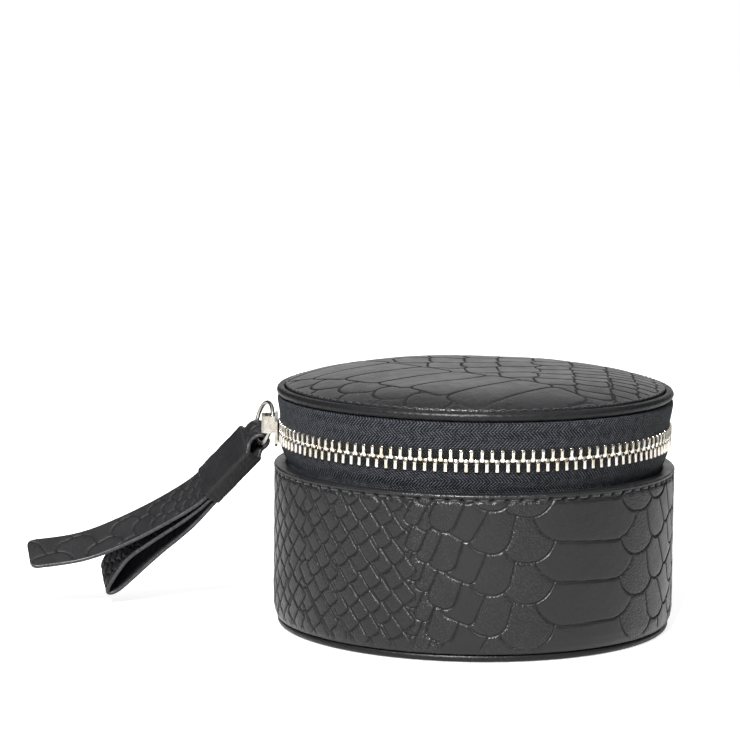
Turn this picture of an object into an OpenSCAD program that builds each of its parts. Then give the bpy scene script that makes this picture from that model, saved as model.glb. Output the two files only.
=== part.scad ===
// Round zipped jewellery case: a leather drum with a padded lid, a metal zip that runs most of the
// way round, a leather strip hinge at the back, and a folded leather pull on a wire ring.
// Origin: the centre of the underside. +Z is up, -Y is the front and the lid hinges at +Y.

/* [Case] */
// Outer diameter of the leather drum
case_d = 100; // [90:1:110]
// Height of the base's rim above the table
rim_z = 40.3; // [38:0.1:41]
// Thickness of the outer leather
leather_t = 1; // [0.8:0.1:1.2]
// Thickness of the board inside the base's wall
board_t = 1.55; // [1.2:0.05:1.6]

/* [Lid] */
// Height of the middle of the lid's piping
piping_z = 58.5; // [58:0.1:60]
// Radius of the lid's piping
piping_r = 1.15; // [0.9:0.05:1.2]
// How far the padded top swells above the piping
dome_h = 4.5; // [3:0.5:7]

/* [Zip] */
// Height of the zip's centre line
zip_z = 48.1; // [47.8:0.1:48.4]
// Distance from tooth to tooth along one row
tooth_pitch = 2.45; // [2.3:0.05:2.8]
// Width of a tooth along the zip
tooth_w = 1; // [0.8:0.05:1.05]
// Angle that the slider's middle stands at when the zip is closed
slider_at = 137; // [136:1:139]

/* [Pull] */
// Radius of the ring, to the middle of its wire
ring_r = 5.2; // [5:0.1:5.2]
// Radius of the ring's wire
wire_r = 0.5; // [0.4:0.05:0.5]
// Width of the leather strap
strap_w = 10.5; // [9:0.5:12]
// Thickness of the strap's leather
strap_t = 1; // [0.8:0.1:1]

/* [Inside] */
// Width of one ring roll
roll_w = 9.3; // [8:0.1:9.3]
// Height of the ring rolls' tops
roll_top = 29; // [20:1:34]

/* [Hidden] */
$fn = 96;

// gap between glued layers, so that they stay separate solids
glue = 0.05;
case_r = case_d / 2;
wall_in_r = case_r - leather_t;
board_in_r = wall_in_r - glue - board_t;
// the rim's leather turns over the board and runs down its inner face
turn_t = 0.55;
turn_r = board_in_r - glue - turn_t;
turn_end_z = 34;
// base: piping, bottom and floor
base_pipe_r = 0.95;
base_pipe_at = case_r - 1.9;
base_cord_r = 0.42;
bottom_t = 0.95;
wall_foot_z = 2 * base_pipe_r + glue;
bottom_board_top = 3;
floor_z = bottom_board_top + glue;
pad_top = 5.6;
// the liner stands a little above the rim, inside the zip
liner_in_r = case_r - 5.6;
liner_out_r = turn_r - 0.7;
liner_suede_t = 0.95;
liner_top = 42;
// ring rolls and the dividers on each side of them
rolls = 3;
divider_t = 2.4;
divider_top = 31;
divider_y = rolls * roll_w / 2 + divider_t / 2 + 0.4;
// zip: tape, teeth and the angles that it runs between
tape_t = 0.6;
tape_r = case_r - 1.4;
tape_in_r = tape_r - tape_t;
tape_foot_r = turn_r - glue;
tape_edge = 1.3;
tooth_out_r = case_r - 0.9;
tooth_in_r = case_r - 2.8;
tooth_reach = 2.65;
head_reach = 0.5;
hinge_half = 34.5;
zip_from = 90 + hinge_half + 0.8;
zip_to = 450 - hinge_half - 0.8;
teeth_from = slider_at - 2.7;
teeth_to = zip_to - 21.5;
tooth_step = tooth_pitch / (case_r - 1.1) * 180 / PI;
tooth_count = floor((teeth_to - teeth_from) / tooth_step);
stop_angles = [slider_at - 7.8, zip_to - 17.7];
stop_w = 1.2;
// hinge: two halves of one leather strip, parted at the hinge line
hinge_out_r = case_r - 0.4;
hinge_in_r = hinge_out_r - 1.2;
hinge_gap = 0.3;
// lid: board, collar, pad and padded top
pipe_at = case_r - 1.7;
lid_cord_r = 0.5;
lid_base_z = piping_z - piping_r - glue;
lid_board_t = 1.7;
dome_rim = piping_z + 0.7;
dome_r = case_r - 1;
lid_edge_r = pipe_at - piping_r - glue;
collar_in_r = case_r - 4.1;
collar_out_r = case_r - 2.4;
collar_z = zip_z + 4.8;
lid_pad_z = collar_z + 0.4;
// slider
plate_top = case_r - 0.15;
plate_out_in = case_r - 0.82;
inner_plate = [case_r - 4.3, case_r - 3.4];
slider_half = 5.4;
slider_z = 4.1;
cap_half = 3.6;
cap_t = 0.85;
cap_top = case_r + 3.2;
cap_z = [47.7, 51.9];
// ring: its middle, and how it is turned from lying flat
ring_at = [-35.4, 39.2, 49.2];
ring_turn = [0, 102.7, -21.9];
// strap: x runs from the ring to the tip, y is the width and z is the face's normal
strap_at = [-37, 42.7, 46.3];
strap_turn = [-45, 45.5, 114];
fold_x = -0.6;
fold_z = -2.1;
fold_in_r = 1.65;
fold_out_r = 2.5;
fold_w = 6.4;
// the folded plies between the tail's top face and the loop's lower face
ply_top = -0.5;
ply_low = ply_top - 3 * strap_t - 0.2;
sleeve_x = [2.4, 19.2];
sleeve_t = 0.85;
sleeve_side = 0.3;
tail_bends = [[32, 20], [88, 24]];
loop_end_x = 54.6;
loop_end_r = 2.35;

// surface of the padded top at radius r
function dome_z(r) = dome_rim + dome_h * (1 - pow(r / dome_r, 5));
// points on an arc about c
function arc(c, r, from, to, steps = 8) =
    [for (i = [0:steps]) c + r * [cos(from + (to - from) * i / steps), sin(from + (to - from) * i / steps)]];

module turned(profile) { rotate_extrude() polygon(profile); }

module swept(profile, from, to) {
    rotate([0, 0, from]) rotate_extrude(angle = to - from) polygon(profile);
}

// ---- base ----

module base_wall_leather() {
    color("#26262a") turned([
        [turn_r + 0.1, wall_foot_z], [case_r - 0.85, wall_foot_z], [case_r - 0.3, 3.2], [case_r, 5],
        [case_r, rim_z - 0.7], [case_r - 0.25, rim_z - 0.2], [case_r - 0.8, rim_z],
        [turn_r + 0.6, rim_z], [turn_r + 0.15, rim_z - 0.2], [turn_r, rim_z - 0.7],
        [turn_r, turn_end_z], [turn_r + turn_t, turn_end_z], [turn_r + turn_t, rim_z - leather_t],
        [wall_in_r, rim_z - leather_t], [wall_in_r, 5], [wall_in_r - 0.6, wall_foot_z + leather_t],
        [turn_r + 0.1, wall_foot_z + leather_t]
    ]);
}

module base_wall_board() {
    color("#8a7a64") turned([
        [board_in_r, floor_z], [wall_in_r - 0.75, floor_z], [wall_in_r - glue, 5],
        [wall_in_r - glue, rim_z - leather_t - glue], [board_in_r, rim_z - leather_t - glue]
    ]);
}

module base_piping() {
    color("#222226") rotate_extrude() translate([base_pipe_at, base_pipe_r]) difference() {
        circle(base_pipe_r);
        circle(base_cord_r + glue);
    }
}

module base_piping_cord() {
    color("#d8d2c4") rotate_extrude() translate([base_pipe_at, base_pipe_r]) circle(base_cord_r);
}

module base_bottom_leather() {
    color("#2a2a2e") turned([
        [0, 0], [base_pipe_at - base_pipe_r - 0.35, 0], [base_pipe_at - base_pipe_r - glue, 0.3],
        [base_pipe_at - base_pipe_r - glue, bottom_t], [0, bottom_t]
    ]);
}

module base_bottom_board() {
    color("#8a7a64") turned([
        [0, bottom_t + glue], [turn_r, bottom_t + glue], [turn_r, bottom_board_top],
        [0, bottom_board_top]
    ]);
}

module base_liner_board() {
    suede_r = liner_in_r + liner_suede_t + glue;
    color("#93836c") turned([
        [suede_r, floor_z], [board_in_r - glue, floor_z], [board_in_r - glue, turn_end_z - 0.5],
        [liner_out_r, turn_end_z - 0.5], [liner_out_r, liner_top - 0.8], [suede_r, liner_top - 0.8]
    ]);
}

module base_liner_suede() {
    suede_r = liner_in_r + liner_suede_t;
    color("#6d655c") turned([
        [liner_in_r, floor_z], [suede_r, floor_z], [suede_r, liner_top - 0.75],
        [liner_out_r, liner_top - 0.75], [liner_out_r, liner_top - 0.2],
        [liner_out_r - 0.2, liner_top], [liner_in_r + 0.4, liner_top], [liner_in_r, liner_top - 0.4]
    ]);
}

module floor_pad() {
    pad_r = liner_in_r - 0.1;
    color("#746b61") turned([
        [0, floor_z], [pad_r, floor_z], [pad_r, pad_top - 0.9], [pad_r - 1.2, pad_top - 0.1],
        [pad_r - 4, pad_top], [0, pad_top]
    ]);
}

module within_liner() {
    intersection() {
        translate([0, 0, pad_top + glue]) cylinder(r = liner_in_r - 0.1, h = liner_top);
        children();
    }
}

module divider(side) {
    color("#6d655c") within_liner() translate([0, side * divider_y, 0]) union() {
        translate([-liner_in_r, -divider_t / 2, 0]) cube([2 * liner_in_r, divider_t, divider_top]);
        translate([-liner_in_r, 0, divider_top]) rotate([0, 90, 0])
            cylinder(r = divider_t / 2, h = 2 * liner_in_r);
    }
}

module front_divider() { divider(-1); }
module back_divider() { divider(1); }

module ring_roll(number) {
    roll_r = roll_w / 2 - 0.05;
    color("#7a7167") within_liner()
    translate([0, (number - (rolls - 1) / 2) * roll_w, 0]) union() {
        translate([-liner_in_r, -roll_r, 0]) cube([2 * liner_in_r, 2 * roll_r, roll_top - roll_r]);
        translate([-liner_in_r, 0, roll_top - roll_r]) rotate([0, 90, 0])
            cylinder(r = roll_r, h = 2 * liner_in_r);
    }
}

module ring_roll_front() { ring_roll(0); }
module ring_roll_middle() { ring_roll(1); }
module ring_roll_back() { ring_roll(rolls - 1); }

// ---- zip ----

module zip_tape_lower() {
    color("#1d2026") swept([
        [tape_foot_r - tape_t, turn_end_z], [tape_foot_r, turn_end_z], [tape_foot_r, rim_z],
        [tape_foot_r + 0.1, rim_z + 0.5], [tape_r - 1.1, zip_z - 5.9], [tape_r - 0.4, zip_z - 4.1],
        [tape_r, zip_z - 2.5], [tape_r, zip_z - tape_edge], [tape_in_r, zip_z - tape_edge],
        [tape_in_r, zip_z - 2.4], [tape_in_r - 0.4, zip_z - 3.9], [tape_in_r - 1.1, zip_z - 5.6],
        [tape_foot_r - tape_t, rim_z + 0.8]
    ], zip_from, zip_to);
}

module zip_tape_upper() {
    color("#1d2026") swept([
        [tape_in_r, zip_z + tape_edge], [tape_r, zip_z + tape_edge], [tape_r, zip_z + 3.4],
        [tape_r + 0.2, zip_z + 4.9], [tape_r + 0.55, zip_z + 6.9], [tape_r + 0.7, zip_z + 8.3],
        [tape_r + 0.4, zip_z + 9], [tape_r - 0.4, lid_base_z], [collar_out_r + glue, lid_base_z],
        [collar_out_r + glue, lid_base_z - tape_t], [tape_r - 0.3, zip_z + 8.3],
        [tape_in_r + 0.5, zip_z + 6.9], [tape_in_r + 0.2, zip_z + 4.9], [tape_in_r, zip_z + 3.4]
    ], zip_from, zip_to);
}

// one tooth of the upper row: a leg that is slotted over the tape's edge, and a narrower head
module tooth() {
    slot = [tape_in_r - 0.03, tape_r + 0.03];
    translate([0, tooth_w / 2, 0]) rotate([90, 0, 0]) linear_extrude(tooth_w) polygon([
        [tooth_in_r, tooth_reach], [slot[0], tooth_reach], [slot[0], tape_edge - 0.05],
        [slot[1], tape_edge - 0.05], [slot[1], tooth_reach], [tooth_out_r, tooth_reach],
        [tooth_out_r, 0.7], [tooth_out_r - 0.3, -head_reach], [tooth_in_r + 0.3, -head_reach],
        [tooth_in_r, 0.7]
    ]);
}

module zip_teeth_upper() {
    color("#d9d6cc") translate([0, 0, zip_z]) for (i = [0:tooth_count - 1])
        rotate([0, 0, teeth_from + i * tooth_step]) tooth();
}

module zip_teeth_lower() {
    color("#d9d6cc") translate([0, 0, zip_z]) for (i = [0:tooth_count - 1])
        rotate([0, 0, teeth_from + (i + 0.5) * tooth_step]) mirror([0, 0, 1]) tooth();
}

// the stops that end the slider's travel, clamped on the tape's edge
module zip_stops(side) {
    slot = [tape_in_r - 0.05, tape_r + 0.05];
    color("#cfccc2") translate([0, 0, zip_z]) for (at = stop_angles)
        rotate([0, 0, at]) mirror([0, 0, side > 0 ? 0 : 1]) difference() {
            translate([tooth_in_r, -stop_w / 2, 0.45])
                cube([tooth_out_r - tooth_in_r, stop_w, tooth_reach - 0.45]);
            translate([slot[0], -stop_w, tape_edge - 0.05])
                cube([slot[1] - slot[0], 2 * stop_w, tooth_reach]);
        }
}

module zip_stops_lower() { zip_stops(-1); }
module zip_stops_upper() { zip_stops(1); }

// ---- hinge ----

module hinge_panel_lower() {
    foot_in = tape_foot_r - tape_t;
    color("#242428") swept([
        [foot_in, turn_end_z], [tape_foot_r, turn_end_z], [tape_foot_r, rim_z + 0.1],
        [tape_foot_r + 0.6, rim_z + 0.7], [hinge_out_r - 0.6, zip_z - 5.1],
        [hinge_out_r, zip_z - 3.1], [hinge_out_r, zip_z - hinge_gap],
        [hinge_in_r, zip_z - hinge_gap], [hinge_in_r, zip_z - 2.9],
        [hinge_in_r - 0.5, zip_z - 4.5], [foot_in + 0.45, zip_z - 6.1], [foot_in, rim_z + 0.9]
    ], 90 - hinge_half, 90 + hinge_half);
}

module hinge_panel_upper() {
    color("#242428") swept([
        [hinge_in_r, zip_z + hinge_gap], [hinge_out_r, zip_z + hinge_gap],
        [hinge_out_r, zip_z + 7.4], [hinge_out_r - 0.3, zip_z + 8.7],
        [hinge_out_r - 1, lid_base_z], [collar_out_r + glue, lid_base_z],
        [collar_out_r + glue, lid_base_z - 1.2], [hinge_in_r, zip_z + 6.9]
    ], 90 - hinge_half, 90 + hinge_half);
}

// ---- lid ----

module lid_top_leather() {
    steps = 14;
    inner_r = lid_edge_r - 0.7;
    color("#2b2b30") turned(concat(
        [for (i = [0:steps]) [lid_edge_r * i / steps, dome_z(lid_edge_r * i / steps)]],
        [[lid_edge_r, lid_base_z + glue], [inner_r, lid_base_z + glue]],
        [for (i = [steps:-1:0]) [inner_r * i / steps, dome_z(inner_r * i / steps) - leather_t]]
    ));
}

module lid_foam() {
    steps = 10;
    foam_r = lid_edge_r - 0.7 - glue;
    color("#c9bd9c") turned(concat(
        [for (i = [0:steps]) [foam_r * i / steps, dome_z(foam_r * i / steps) - leather_t - glue]],
        [[foam_r, lid_base_z + glue], [0, lid_base_z + glue]]
    ));
}

module lid_board() {
    color("#8a7a64") translate([0, 0, lid_base_z - lid_board_t])
        cylinder(r = collar_in_r - glue, h = lid_board_t);
}

module lid_collar() {
    color("#2a2a2e") turned([
        [collar_in_r, collar_z + 0.3], [collar_in_r + 0.3, collar_z], [collar_out_r - 0.3, collar_z],
        [collar_out_r, collar_z + 0.3], [collar_out_r, lid_base_z], [collar_in_r, lid_base_z]
    ]);
}

module lid_pad() {
    top_z = lid_base_z - lid_board_t - glue;
    pad_r = collar_in_r - 0.1;
    color("#746b61") turned([
        [0, lid_pad_z], [pad_r - 8, lid_pad_z + 0.1], [pad_r - 2, lid_pad_z + 0.6],
        [pad_r, lid_pad_z + 1.5], [pad_r, top_z], [0, top_z]
    ]);
}

module lid_piping() {
    color("#222226") rotate_extrude() translate([pipe_at, piping_z]) difference() {
        circle(piping_r);
        circle(lid_cord_r + glue);
    }
}

module lid_piping_cord() {
    color("#d8d2c4") rotate_extrude() translate([pipe_at, piping_z]) circle(lid_cord_r);
}

// ---- slider and pull ----

module at_slider() { rotate([0, 0, slider_at]) children(); }

// a slider plate's outline, wide at the nose, in the plane of y and z
module slider_plate(x0, x1) {
    translate([x0, 0, zip_z]) rotate([90, 0, 90]) linear_extrude(x1 - x0) polygon([
        [-slider_half, -2.6], [-slider_half + 1.1, -slider_z], [-0.5, -slider_z],
        [slider_half - 1, -3.6], [slider_half, -2.8], [slider_half, 2.8],
        [slider_half - 1, 3.6], [-0.5, slider_z], [-slider_half + 1.1, slider_z],
        [-slider_half, 2.6]
    ]);
}

module slider_body() {
    flange_t = 0.7;
    color("#c9c6bd") at_slider() union() {
        slider_plate(plate_out_in, plate_top);
        slider_plate(inner_plate[0], inner_plate[1]);
        for (side = [-1, 1])
            translate([inner_plate[1] - 0.1, -slider_half + 1.3, zip_z + side * 3.2 - flange_t / 2])
                cube([0.7, 2 * slider_half - 2.6, flange_t]);
        // the post that parts the two rows of teeth
        translate([inner_plate[1] - 0.1, -slider_half + 0.3, zip_z - 1])
            cube([plate_out_in - inner_plate[1] + 0.2, 2, 2]);
    }
}

// the arch over the slider that the ring hangs in
module slider_cap() {
    corner = 1.4;
    inner = corner - 0.7;
    color("#dedbd2") at_slider() translate([0, 0, cap_z[0]]) linear_extrude(cap_z[1] - cap_z[0])
        polygon(concat(
            [[plate_top, -cap_half]],
            arc([cap_top - corner, -cap_half + corner], corner, -90, 0),
            arc([cap_top - corner, cap_half - corner], corner, 0, 90),
            [[plate_top, cap_half], [plate_top, cap_half - cap_t]],
            arc([cap_top - cap_t - inner, cap_half - cap_t - inner], inner, 90, 0),
            arc([cap_top - cap_t - inner, -cap_half + cap_t + inner], inner, 0, -90),
            [[plate_top, -cap_half + cap_t]]
        ));
}

module pull_ring() {
    color("#dedbd2") translate(ring_at) rotate(ring_turn)
        rotate_extrude() translate([ring_r, 0]) circle(wire_r, $fn = 32);
}

module at_strap() { translate(strap_at) rotate(strap_turn) children(); }

// a side view of the strap, made w wide
module strap_side(w) { rotate([90, 0, 0]) linear_extrude(w, center = true) children(); }

// a bend of the strap: two arcs one strap thickness apart about a middle above the strap
function bend(start, turn, r, by) =
    let (mid = start + r * [-sin(turn), cos(turn)])
    concat(arc(mid, r, turn - 90, turn + by - 90),
           arc(mid, r + strap_t, turn + by - 90, turn - 90));
function bend_end(start, turn, r, by) =
    start + r * [-sin(turn), cos(turn)] + r * [sin(turn + by), -cos(turn + by)];

module pull_strap() {
    tail_from = [sleeve_x[1], ply_top];
    tail_mid = bend_end(tail_from, 0, tail_bends[0][0], tail_bends[0][1]);
    loop_mid = [loop_end_x, 0.55];
    // the plies start inside the fold's ring of leather
    plies_from = fold_x + 1.7;
    color("#26262a") at_strap() union() {
        // the fold round the ring
        difference() {
            translate([fold_x, 0, fold_z]) rotate([90, 0, 0])
                cylinder(r = fold_out_r, h = fold_w, center = true);
            translate([fold_x, 0, fold_z]) rotate([90, 0, 0])
                cylinder(r = fold_in_r, h = strap_w, center = true);
        }
        // the three plies that lie in the sleeve
        strap_side(fold_w) polygon([
            [plies_from, ply_top], [sleeve_x[0], ply_top], [sleeve_x[0], ply_low],
            [plies_from, ply_low]
        ]);
        strap_side(strap_w) polygon([
            [sleeve_x[0], ply_top], [sleeve_x[1], ply_top], [sleeve_x[1], ply_low],
            [sleeve_x[0], ply_low]
        ]);
        // the tail
        strap_side(strap_w) polygon(bend(tail_from, 0, tail_bends[0][0], tail_bends[0][1]));
        strap_side(strap_w)
            polygon(bend(tail_mid, tail_bends[0][1], tail_bends[1][0], tail_bends[1][1]));
        // the loop
        strap_side(strap_w) difference() {
            polygon(concat(
                [[sleeve_x[1], ply_top - strap_t - 0.1], [sleeve_x[1], ply_low]],
                arc(loop_mid, loop_end_r, -82, 82, 12)
            ));
            polygon(concat(
                [[sleeve_x[1] + 6, ply_low + 1.6]],
                arc(loop_mid, loop_end_r - strap_t, -82, 82, 12)
            ));
        }
    }
}

module strap_sleeve() {
    length = sleeve_x[1] - sleeve_x[0];
    inside = [length + 2, strap_w + 2 * glue, ply_top - ply_low + 2 * glue];
    outside = [length, strap_w + 2 * (glue + sleeve_side),
               ply_top - ply_low + 2 * (glue + sleeve_t)];
    color("#29292d") at_strap() translate([sleeve_x[0] + length / 2, 0, (ply_top + ply_low) / 2])
        difference() {
            cube(outside, center = true);
            cube(inside, center = true);
        }
}

base_wall_leather();
base_wall_board();
base_piping();
base_piping_cord();
base_bottom_leather();
base_bottom_board();
base_liner_board();
base_liner_suede();
floor_pad();
front_divider();
back_divider();
ring_roll_front();
ring_roll_middle();
ring_roll_back();
zip_tape_lower();
zip_teeth_lower();
zip_stops_lower();
hinge_panel_lower();
lid_top_leather();
lid_foam();
lid_board();
lid_collar();
lid_pad();
lid_piping();
lid_piping_cord();
zip_tape_upper();
zip_teeth_upper();
zip_stops_upper();
hinge_panel_upper();
slider_body();
slider_cap();
pull_ring();
pull_strap();
strap_sleeve();
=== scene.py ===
"""Looks of the round zipped jewellery case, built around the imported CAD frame.

Lengths in this file are millimetres in the row frame, and MM turns them into metres.
"""
import math
import bmesh
import bpy
import numpy as np
from mathutils import Matrix, Vector


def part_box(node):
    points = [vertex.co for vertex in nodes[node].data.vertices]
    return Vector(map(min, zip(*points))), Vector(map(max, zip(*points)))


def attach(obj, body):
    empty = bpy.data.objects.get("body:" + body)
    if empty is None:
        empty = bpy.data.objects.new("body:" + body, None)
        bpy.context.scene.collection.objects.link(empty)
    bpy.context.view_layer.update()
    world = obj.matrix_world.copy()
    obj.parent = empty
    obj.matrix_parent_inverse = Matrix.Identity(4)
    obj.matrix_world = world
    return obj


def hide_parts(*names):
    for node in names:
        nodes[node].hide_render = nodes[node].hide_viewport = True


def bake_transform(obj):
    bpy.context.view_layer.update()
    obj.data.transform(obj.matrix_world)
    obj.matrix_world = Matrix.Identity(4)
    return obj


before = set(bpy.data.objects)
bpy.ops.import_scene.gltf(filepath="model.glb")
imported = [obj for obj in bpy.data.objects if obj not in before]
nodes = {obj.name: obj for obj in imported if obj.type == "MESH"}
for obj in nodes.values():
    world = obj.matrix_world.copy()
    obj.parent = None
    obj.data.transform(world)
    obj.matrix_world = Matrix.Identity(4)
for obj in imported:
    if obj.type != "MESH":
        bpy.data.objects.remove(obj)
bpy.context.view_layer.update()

MM = 0.001
TAU = 2 * math.pi


def node_box(name):
    """A CAD node's lowest and highest corners in mm."""
    low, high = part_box(name)
    return np.array(low) / MM, np.array(high) / MM


# ---------------- sizes from the frame

(_, _, FOOT_Z), (WALL_R, _, RIM_Z) = node_box("base_wall_leather")
(_, _, LID_BASE_Z), (DOME_R, _, DOME_TOP) = node_box("lid_top_leather")
_, (BASE_PIPE_OUT, _, BASE_PIPE_TOP) = node_box("base_piping")
BASE_PIPE_R = BASE_PIPE_TOP / 2
BASE_PIPE_AT = BASE_PIPE_OUT - BASE_PIPE_R
(_, _, LID_PIPE_LOW), (LID_PIPE_OUT, _, LID_PIPE_HIGH) = node_box("lid_piping")
LID_PIPE_Z = (LID_PIPE_LOW + LID_PIPE_HIGH) / 2
LID_PIPE_R = (LID_PIPE_HIGH - LID_PIPE_LOW) / 2
LID_PIPE_AT = LID_PIPE_OUT - LID_PIPE_R
ZIP_Z = (node_box("zip_teeth_lower")[0][2] + node_box("zip_teeth_upper")[1][2]) / 2
LINER_TOP = node_box("base_liner_suede")[1][2]
LINER_R = WALL_R - 5.6
FLOOR_Z = node_box("floor_pad")[0][2]
# pads and bars stop just short of the liner
PAD_R = LINER_R - 0.1
LID_PAD_R = 45.8

TURN_R = 46.8
TURN_END_Z = 34.0
TAPE_R = WALL_R - 1.4
TAPE_T = 0.6
HINGE_HALF = 34.5
HINGE_MID = 90.0
TAPE_FROM = HINGE_MID + HINGE_HALF + 0.8
TAPE_TO = HINGE_MID + 360 - HINGE_HALF - 0.8
SLIDER_AT = 137.0
TOOTH_PITCH = 2.45
TOOTH_STEP = math.degrees(TOOTH_PITCH / (WALL_R - 1.1))
TEETH_FROM = SLIDER_AT - 2.7
TEETH_TO = TAPE_TO - 21.5
TOOTH_COUNT = int((TEETH_TO - TEETH_FROM) / TOOTH_STEP)
# the direction that the case is seen from, as an angle in plan, and the middle of the widest scales
FACING = 224.0
BAND_AT = 29.8

# ---------------- small tools


def smooth(x):
    """Smoothstep of x held between 0 and 1."""
    x = np.clip(x, 0, 1)
    return x * x * (3 - 2 * x)


def value_noise(x, y, seed, wrap_x=0):
    """Smooth noise from -1 to 1, one lump a unit of x and y. It repeats every wrap_x units of x."""
    table = np.random.RandomState(seed).uniform(-1, 1, (256, 256))
    ix, iy = np.floor(x).astype(int), np.floor(y).astype(int)
    fx, fy = smooth(x - ix), smooth(y - iy)

    def at(i, j):
        if wrap_x:
            i = i % wrap_x
        return table[i % 256, j % 256]

    low = at(ix, iy) * (1 - fx) + at(ix + 1, iy) * fx
    high = at(ix, iy + 1) * (1 - fx) + at(ix + 1, iy + 1) * fx
    return low * (1 - fy) + high * fy


def grid_faces(rows, columns, close_rows=False, close_columns=False):
    """Quads of a grid of rows x columns points, in row order."""
    i = np.arange(rows if close_rows else rows - 1)
    j = np.arange(columns if close_columns else columns - 1)
    i, j = np.meshgrid(i, j, indexing="ij")
    i2, j2 = (i + 1) % rows, (j + 1) % columns
    quads = [i * columns + j, i * columns + j2, i2 * columns + j2, i2 * columns + j]
    return np.stack(quads, -1).reshape(-1, 4)


def tube_faces(rows, columns, way=1):
    """Faces of a tube of rows x columns points with closed ends. way is -1 if the ends run backwards."""
    first = np.arange(columns)
    last = first + (rows - 1) * columns
    return grid_faces(rows, columns, False, True).tolist() + [first[::way].tolist(), last[::-way].tolist()]


def face_outward(mesh):
    """Turns every face of a closed mesh outward."""
    shape = bmesh.new()
    shape.from_mesh(mesh)
    bmesh.ops.recalc_face_normals(shape, faces=shape.faces)
    shape.to_mesh(mesh)
    shape.free()


def put_in_scene(name, data):
    """A new object in the scene."""
    obj = bpy.data.objects.new(name, data)
    bpy.context.scene.collection.objects.link(obj)
    return obj


def make(name, points, faces, materials, body=None, slot=None, replaces=(), marks=None, face_slots=None):
    """A mesh piece from points in mm. marks are extra values kept on its points, by name."""
    mesh = bpy.data.meshes.new(name)
    mesh.from_pydata((np.asarray(points) * MM).tolist(), [], [list(map(int, f)) for f in faces])
    for material in materials if isinstance(materials, (list, tuple)) else [materials]:
        mesh.materials.append(material)
    if face_slots is not None:
        mesh.polygons.foreach_set("material_index", np.asarray(face_slots, np.int32))
    for key, value in (marks or {}).items():
        value = np.asarray(value, np.float32)
        kind = "FLOAT_VECTOR" if value.ndim == 2 else "FLOAT"
        layer = mesh.attributes.new(key, kind, "POINT")
        layer.data.foreach_set("vector" if value.ndim == 2 else "value", value.ravel())
    mesh.polygons.foreach_set("use_smooth", np.ones(len(mesh.polygons), bool))
    face_outward(mesh)
    obj = put_in_scene(name, mesh)
    if body:
        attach(obj, body)
    if replaces:
        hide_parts(*replaces)
    return obj


def fillet(corners, radii, steps=5):
    """A closed outline of 2-D corners with each corner rounded by its radius."""
    out = []
    corners = [np.array(c, float) for c in corners]
    if not hasattr(radii, "__len__"):
        radii = [radii] * len(corners)
    for k, corner in enumerate(corners):
        before, after = corners[k - 1], corners[(k + 1) % len(corners)]
        a, b = before - corner, after - corner
        la, lb = np.linalg.norm(a), np.linalg.norm(b)
        reach = min(radii[k], la * 0.49, lb * 0.49)
        if reach <= 0:
            out.append(corner)
            continue
        for t in np.linspace(0, 1, steps + 1):
            p, q = corner + a / la * reach * (1 - t), corner + b / lb * reach * t
            out.append(p * (1 - t) + q * t)
    return np.array(out)


def resample(line, step, closed=False):
    """Points along a polyline, no further apart than step, keeping its corners."""
    line = [np.array(p, float) for p in line]
    ends = line[1:] + line[:1] if closed else line[1:]
    out = []
    for a, b in zip(line, ends):
        n = max(1, int(math.ceil(np.linalg.norm(b - a) / step)))
        out += [a + (b - a) * t / n for t in range(n)]
    if not closed:
        out.append(line[-1])
    return np.array(out)


def turned(profile, angles, wrinkle=None):
    """Points of a profile of (r, z) turned through the angles in degrees, one row for each angle."""
    a = np.radians(np.asarray(angles))[:, None]
    r, z = (np.repeat(profile[None, :, k], len(a), 0) for k in (0, 1))
    if wrinkle is not None:
        dr, dz = wrinkle(np.degrees(a) + 0 * r, r, z)
        r, z = r + dr, z + dz
    return np.stack([r * np.cos(a), r * np.sin(a), z], -1)


def full_ring(name, profile, count, materials, wrinkle=None, **kwargs):
    """A closed profile turned all the way round."""
    points = turned(profile, np.arange(count) * 360 / count, wrinkle)
    faces = grid_faces(count, len(profile), True, True)
    return make(name, points.reshape(-1, 3), faces, materials, **kwargs)


def swept_arc(name, profile, start, end, step, materials, wrinkle=None, marks=None, **kwargs):
    """A closed profile turned from start to end degrees, with both ends closed."""
    count = int(round((end - start) / step)) + 1
    angles = np.linspace(start, end, count)
    points = turned(profile, angles, wrinkle)
    return make(name, points.reshape(-1, 3), tube_faces(count, len(profile)), materials,
                marks=marks(profile, angles) if marks else None, **kwargs)


# ---------------- materials


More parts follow.
